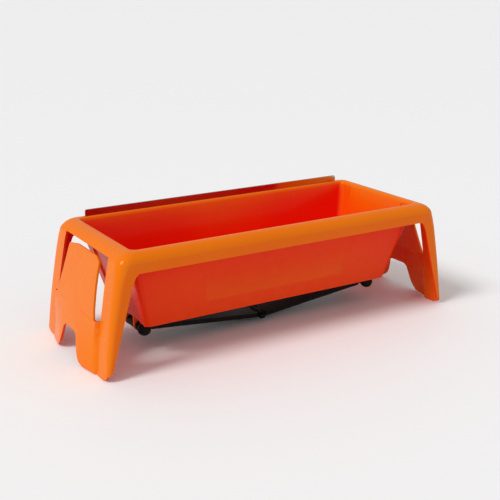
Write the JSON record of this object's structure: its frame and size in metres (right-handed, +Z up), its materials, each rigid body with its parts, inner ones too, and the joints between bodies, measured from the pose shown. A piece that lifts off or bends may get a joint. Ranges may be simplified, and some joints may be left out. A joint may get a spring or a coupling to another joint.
{
  "type": "hand filling tray",
  "caption": "Long moulded trough on two slotted end panels, with a steel scraper strip along the back rim and a hinged rubber hand strap under the floor.",
  "frame": {"origin": "on the surface that the feet stand on, under the middle of the trough", "axes": "+X along the tray, +Y towards the scraper strip at the back, +Z up"},
  "size_m": [0.4518, 0.1704, 0.1356],
  "materials": {
    "moulding": "glossy injection-moulded orange plastic",
    "blade_steel": "ground and polished spring steel strip",
    "rod_steel": "plain drawn steel bar",
    "fixings": "zinc-plated screws",
    "strap_rubber": "semi-matt black moulded rubber",
    "knobs": "smooth black hard rubber"
  },
  "bodies": {
    "root": {"trough": "moulding", "rim": "moulding", "end_panel_left": "moulding", "end_panel_right": "moulding", "scraper_blade": "blade_steel", "blade_screw_1": "fixings", "blade_screw_2": "fixings", "blade_screw_3": "fixings", "blade_screw_4": "fixings", "end_rod_left": "rod_steel", "end_rod_right": "rod_steel", "ball_knob_left_front": "knobs", "ball_knob_left_back": "knobs", "ball_knob_right_front": "knobs", "ball_knob_right_back": "knobs"},
    "tongue_left": {"spring_tongue_left": "moulding"},
    "tongue_right": {"spring_tongue_right": "moulding"},
    "strap_left": {"strap_half_left": "strap_rubber"},
    "strap_right": {"strap_half_right": "strap_rubber"},
    "strap_centre": {"centre_pin": "rod_steel", "pin_cap_front": "knobs", "pin_cap_back": "knobs"}
  },
  "joints": [
    {"name": "tongue_left_flex", "type": "hinge", "parent": "root", "child": "tongue_left", "pos_m": [-0.2169, 0, 0.056], "axis": [0, -1, 0], "range_deg": [-4, 4.5], "stiffness_Nm_per_rad": 8},
    {"name": "tongue_right_flex", "type": "hinge", "parent": "root", "child": "tongue_right", "pos_m": [0.2169, 0, 0.056], "axis": [0, 1, 0], "range_deg": [-4, 4.5], "stiffness_Nm_per_rad": 8},
    {"name": "strap_left_swing", "type": "hinge", "parent": "root", "child": "strap_left", "pos_m": [-0.1495, 0, 0.0236], "axis": [0, -1, 0], "range_deg": [0, 7.6], "stiffness_Nm_per_rad": 4},
    {"name": "strap_right_swing", "type": "hinge", "parent": "root", "child": "strap_right", "pos_m": [0.1495, 0, 0.0236], "axis": [0, 1, 0], "range_deg": [0, 7.6], "stiffness_Nm_per_rad": 4},
    {"name": "strap_centre_lift", "type": "slide", "parent": "root", "child": "strap_centre", "axis": [0, 0, 1], "range_m": [0, 0.02], "stiffness_N_per_m": 50}
  ],
  "couplings": [
    {"joint": "strap_right_swing", "follows": "strap_left_swing", "ratio": 1},
    {"joint": "strap_centre_lift", "follows": "strap_left_swing", "m_per_rad": 0.15}
  ]
}
